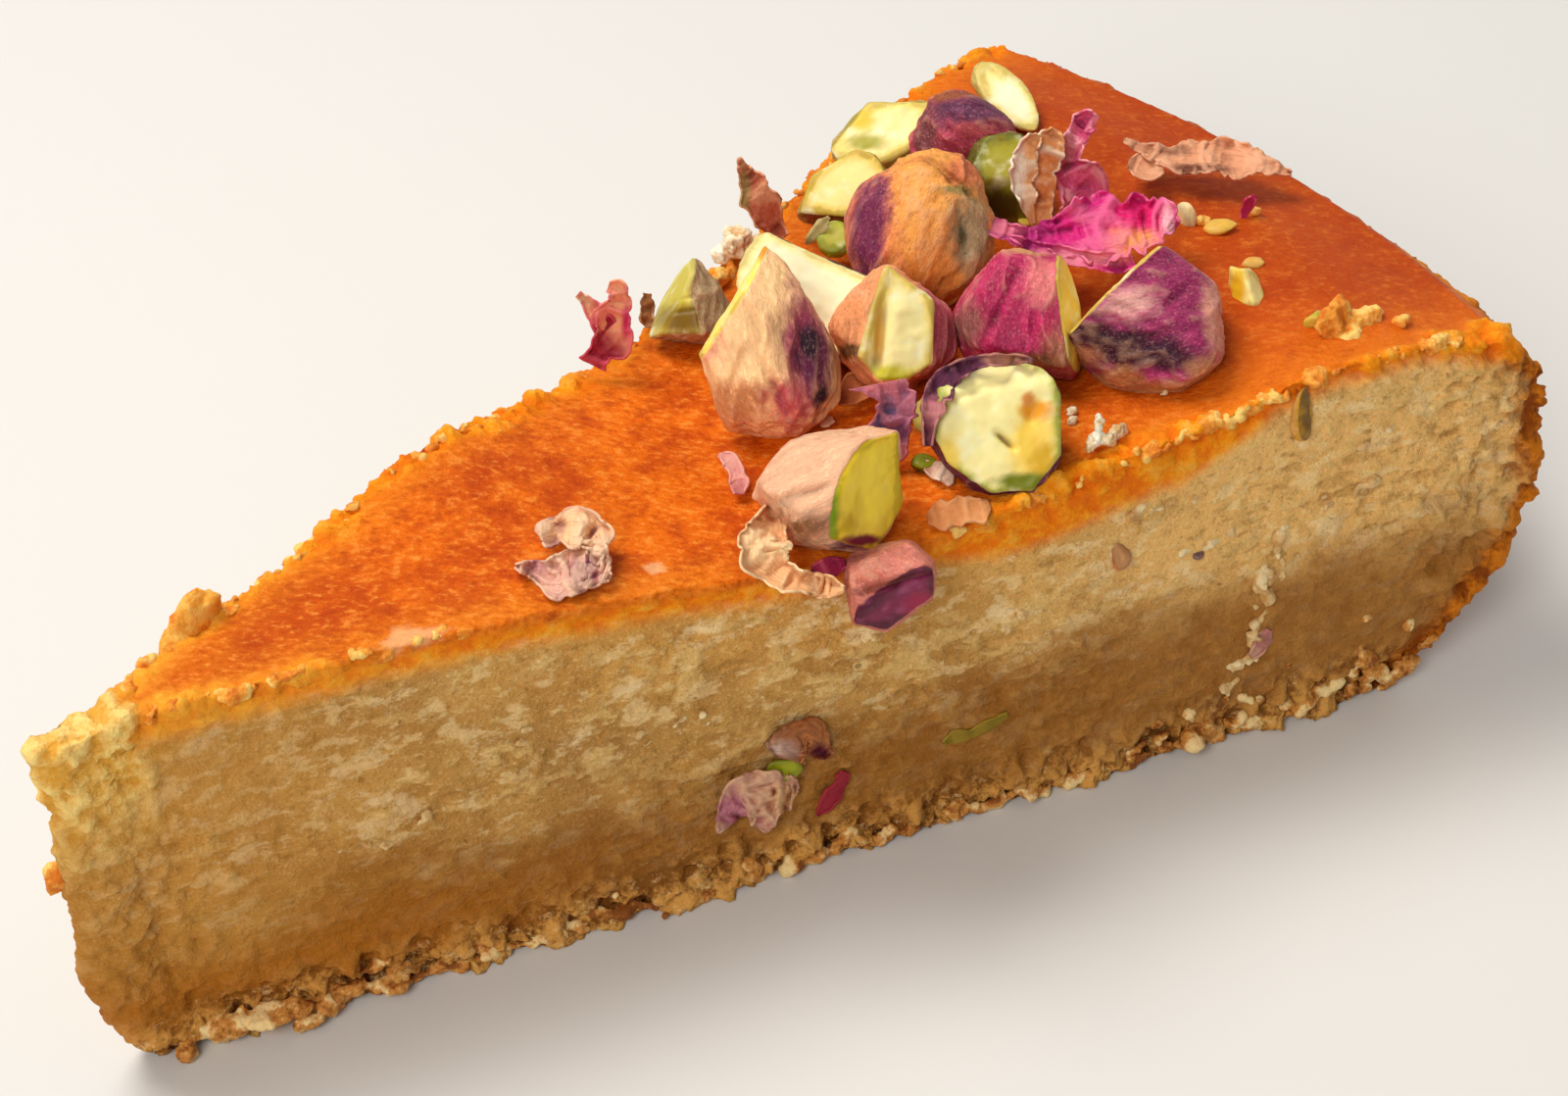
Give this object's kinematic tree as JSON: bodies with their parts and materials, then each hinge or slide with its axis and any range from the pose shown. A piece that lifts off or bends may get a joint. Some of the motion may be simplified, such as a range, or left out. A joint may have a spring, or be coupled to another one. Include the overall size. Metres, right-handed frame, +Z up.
{
  "type": "cake slice",
  "caption": "Wedge of love cake with an orange crust and a crumb base, topped with a heap of broken pistachio kernels and dried rose petals.",
  "frame": {"origin": "middle of the bounding box, on the flat underside of the crumb base", "axes": "+X from the tip of the slice to its outer rim, cut faces towards -Y and +Y, +Z up"},
  "size_m": [0.1167, 0.0633, 0.0418],
  "materials": {
    "cake_crumb": "matte",
    "base_crumb": "matte",
    "pistachio": "satin",
    "dried_petal": "matte"
  },
  "bodies": {
    "root": {"cake_layer": "cake_crumb", "crumb_base": "base_crumb", "petal_cream_curl": "dried_petal", "petal_edge_curl": "dried_petal", "petal_far_edge": "dried_petal", "petal_flake_pink": "dried_petal", "petal_magenta_curl": "dried_petal", "petal_magenta_large": "dried_petal", "petal_pale_crumpled": "dried_petal", "petal_tan_long": "dried_petal", "pistachio_cream_shell": "pistachio", "pistachio_edge_chunk": "pistachio", "pistachio_green_crumb": "pistachio", "pistachio_green_end": "pistachio", "pistachio_green_stub": "pistachio", "pistachio_leaning_half": "pistachio", "pistachio_magenta_half": "pistachio", "pistachio_olive_wedge": "pistachio", "pistachio_pale_back": "pistachio", "pistachio_pale_half": "pistachio", "pistachio_purple_back": "pistachio", "pistachio_purple_dome": "pistachio", "pistachio_round_face": "pistachio", "pistachio_sliver": "pistachio", "pistachio_split": "pistachio", "pistachio_whole": "pistachio", "sepal_brown": "dried_petal", "skin_purple_flake": "dried_petal"}
  },
  "joints": []
}
